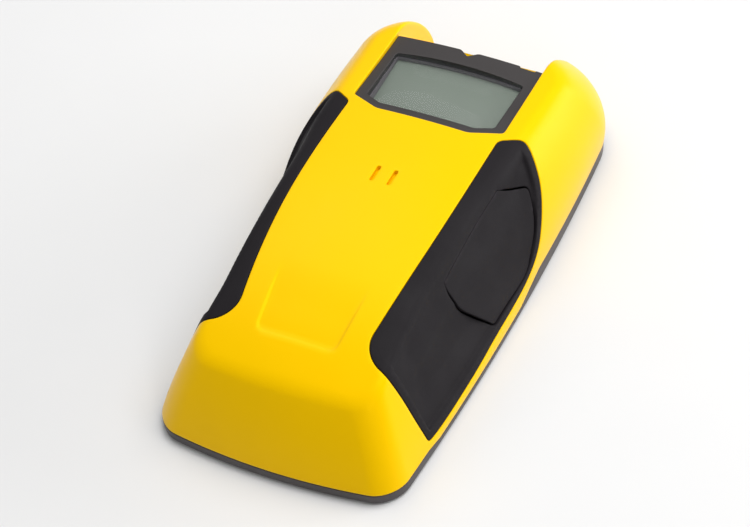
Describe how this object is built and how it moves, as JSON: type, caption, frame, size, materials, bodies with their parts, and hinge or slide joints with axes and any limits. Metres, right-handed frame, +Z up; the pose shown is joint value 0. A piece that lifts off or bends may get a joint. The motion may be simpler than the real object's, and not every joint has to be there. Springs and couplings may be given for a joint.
{
  "type": "stud finder",
  "caption": "Hand-held wall sensor with a display window, rubber side grips, a side button and an opening battery door on its flat sensing face.",
  "frame": {"origin": "bottom centre of the whole object's box, on the flat sensing face", "axes": "+Y points to the display end along the length, +Z is up from the sensing face to the top face, +X is the side with the button"},
  "size_m": [0.0804, 0.16, 0.0384],
  "materials": {
    "yellow_shell": "glossy moulded plastic with a fine smooth skin",
    "dark_cover": "fine matt texture",
    "dark_bezel": "fine matt texture",
    "grip_rubber": "soft matt overmould",
    "clear_window": "clear moulded plastic lens",
    "black_moulding": "plain moulded plastic",
    "display_glass": "grey-green liquid-crystal glass",
    "reflector_film": "silvery grey film",
    "contact_rubber": "striped conductive rubber",
    "circuit_board": "green lacquer",
    "chip_plastic": "matt moulding compound",
    "capacitor_sleeve": "shrunk sleeve",
    "bright_can": "bright plated can",
    "gold_contact": "thin gold-coloured plating",
    "copper_plate": "bare copper, satin",
    "switch_button": "light moulded plastic",
    "battery_can": "painted can",
    "battery_contact": "plated snap contacts",
    "red_insulation": "smooth cable jacket",
    "black_insulation": "smooth cable jacket",
    "foam": "closed-cell foam",
    "label_film": "silver film label, blank",
    "screw_steel": "zinc-plated steel"
  },
  "bodies": {
    "root": {"front_cover": "yellow_shell", "back_cover": "dark_cover", "left_grip": "grip_rubber", "right_grip": "grip_rubber", "display_bezel": "dark_bezel", "display_window": "clear_window", "lcd_frame": "black_moulding", "lcd_glass": "display_glass", "lcd_reflector": "reflector_film", "contact_strips": "contact_rubber", "main_board": "circuit_board", "controller_chip": "chip_plastic", "crystal": "bright_can", "capacitors": "capacitor_sleeve", "resistors": "chip_plastic", "switch_body": "black_moulding", "buzzer_case": "black_moulding", "buzzer_diaphragm": "gold_contact", "sensor_board": "circuit_board", "sensor_plates": "copper_plate", "sensor_chip": "chip_plastic", "link_housing": "black_moulding", "link_pins": "gold_contact", "battery_case": "battery_can", "battery_terminals": "battery_contact", "battery_snap": "black_moulding", "red_lead": "red_insulation", "black_lead": "black_insulation", "battery_pad": "foam", "rating_label": "label_film", "case_screws": "screw_steel", "main_board_screws": "screw_steel", "sensor_board_screws": "screw_steel"},
    "scan_button": {"scan_button": "grip_rubber"},
    "switch_plunger": {"switch_plunger": "switch_button"},
    "battery_door": {"battery_door": "dark_cover"}
  },
  "joints": [
    {"name": "button_press", "type": "hinge", "parent": "root", "child": "scan_button", "pos_m": [0.0304, -0.006, 0.0326], "axis": [0, 0.9969, 0.0785], "range_deg": [0, 2.5], "stiffness_Nm_per_rad": 0.5, "springref_deg": -1.15},
    {"name": "switch_travel", "type": "slide", "parent": "root", "child": "switch_plunger", "axis": [-1, 0, 0], "range_m": [0, 0.00026]},
    {"name": "battery_door_hinge", "type": "hinge", "parent": "root", "child": "battery_door", "pos_m": [0, -0.0109, 0.0015], "axis": [1, 0, 0], "range_deg": [0, 95]}
  ],
  "couplings": [
    {"joint": "switch_travel", "follows": "button_press", "m_per_rad": 0.00573}
  ]
}
